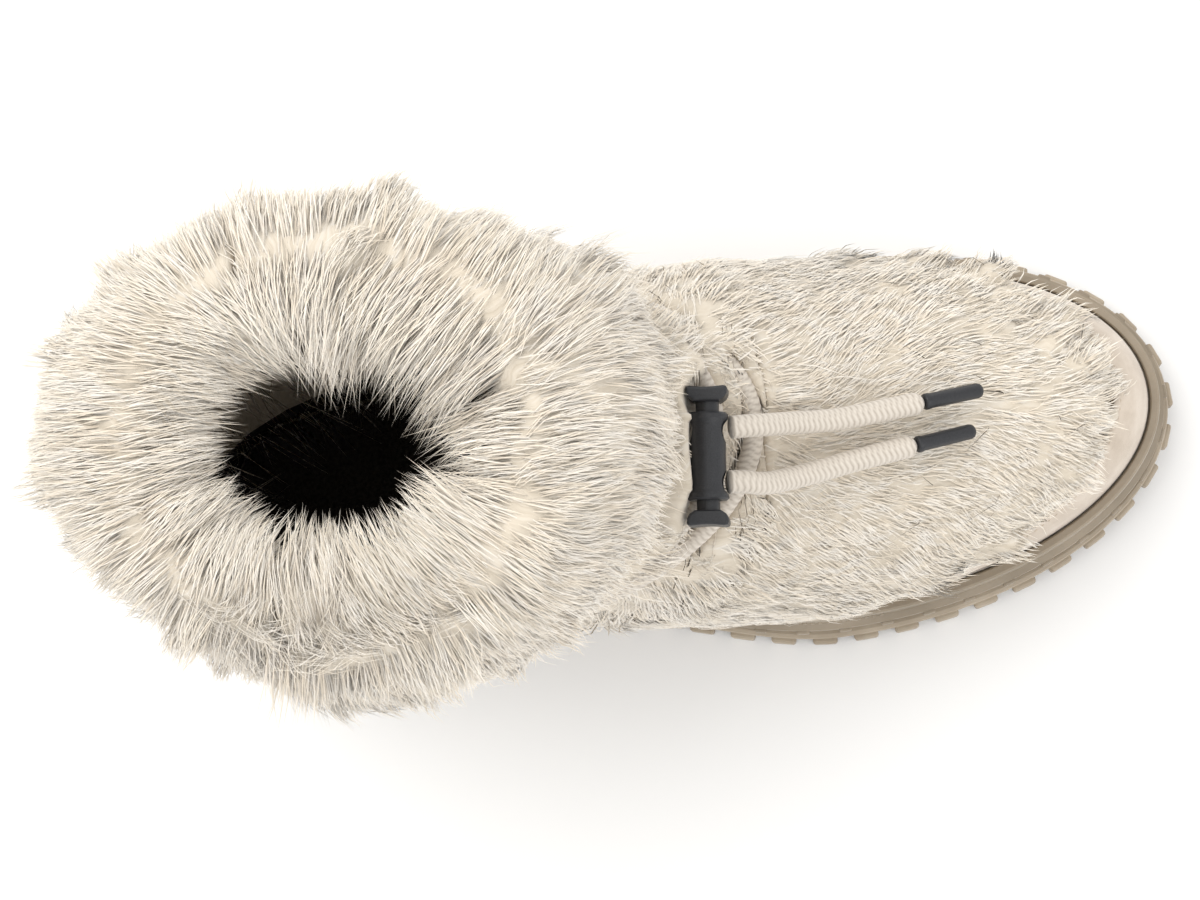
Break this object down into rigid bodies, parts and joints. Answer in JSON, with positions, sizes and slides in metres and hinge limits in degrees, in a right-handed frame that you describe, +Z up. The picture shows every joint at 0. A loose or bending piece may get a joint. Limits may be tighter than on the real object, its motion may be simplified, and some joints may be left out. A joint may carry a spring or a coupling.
{
  "type": "winter boot",
  "caption": "Ankle-height faux-fur winter boot with a thick fur cuff, a drawcord with a two-button cord lock, a suede toe guard and a lugged cup sole.",
  "frame": {"origin": "middle of the heel's tread, on the floor", "axes": "+X towards the toe, +Y towards the inner side of the foot, +Z up"},
  "size_m": [0.2909, 0.128, 0.1988],
  "materials": {
    "fur": "long cream pile",
    "suede": "napped suede",
    "lining": "short black pile",
    "midsole": "satin moulded",
    "outsole": "satin moulded",
    "cord": "braided",
    "plastic": "matte black"
  },
  "bodies": {
    "boot": {"outsole": "outsole", "midsole": "midsole", "insole": "lining", "upper": "lining", "toe_mudguard": "suede", "vamp_fur": "fur", "shaft_fur": "fur", "cuff_front": "fur", "cuff_back": "fur", "drawcord": "cord", "lock_barrel": "plastic", "cord_end_inner": "cord", "cord_tip_inner": "plastic", "cord_end_outer": "cord", "cord_tip_outer": "plastic"},
    "button_inner": {"lock_button_inner": "plastic"},
    "button_outer": {"lock_button_outer": "plastic"}
  },
  "joints": [
    {"name": "button_inner_press", "type": "slide", "parent": "boot", "child": "button_inner", "axis": [-0.1197, -0.9928, 0], "range_m": [0, 0.0022], "stiffness_N_per_m": 400},
    {"name": "button_outer_press", "type": "slide", "parent": "boot", "child": "button_outer", "axis": [0.1197, 0.9928, 0], "range_m": [0, 0.0022], "stiffness_N_per_m": 400}
  ]
}
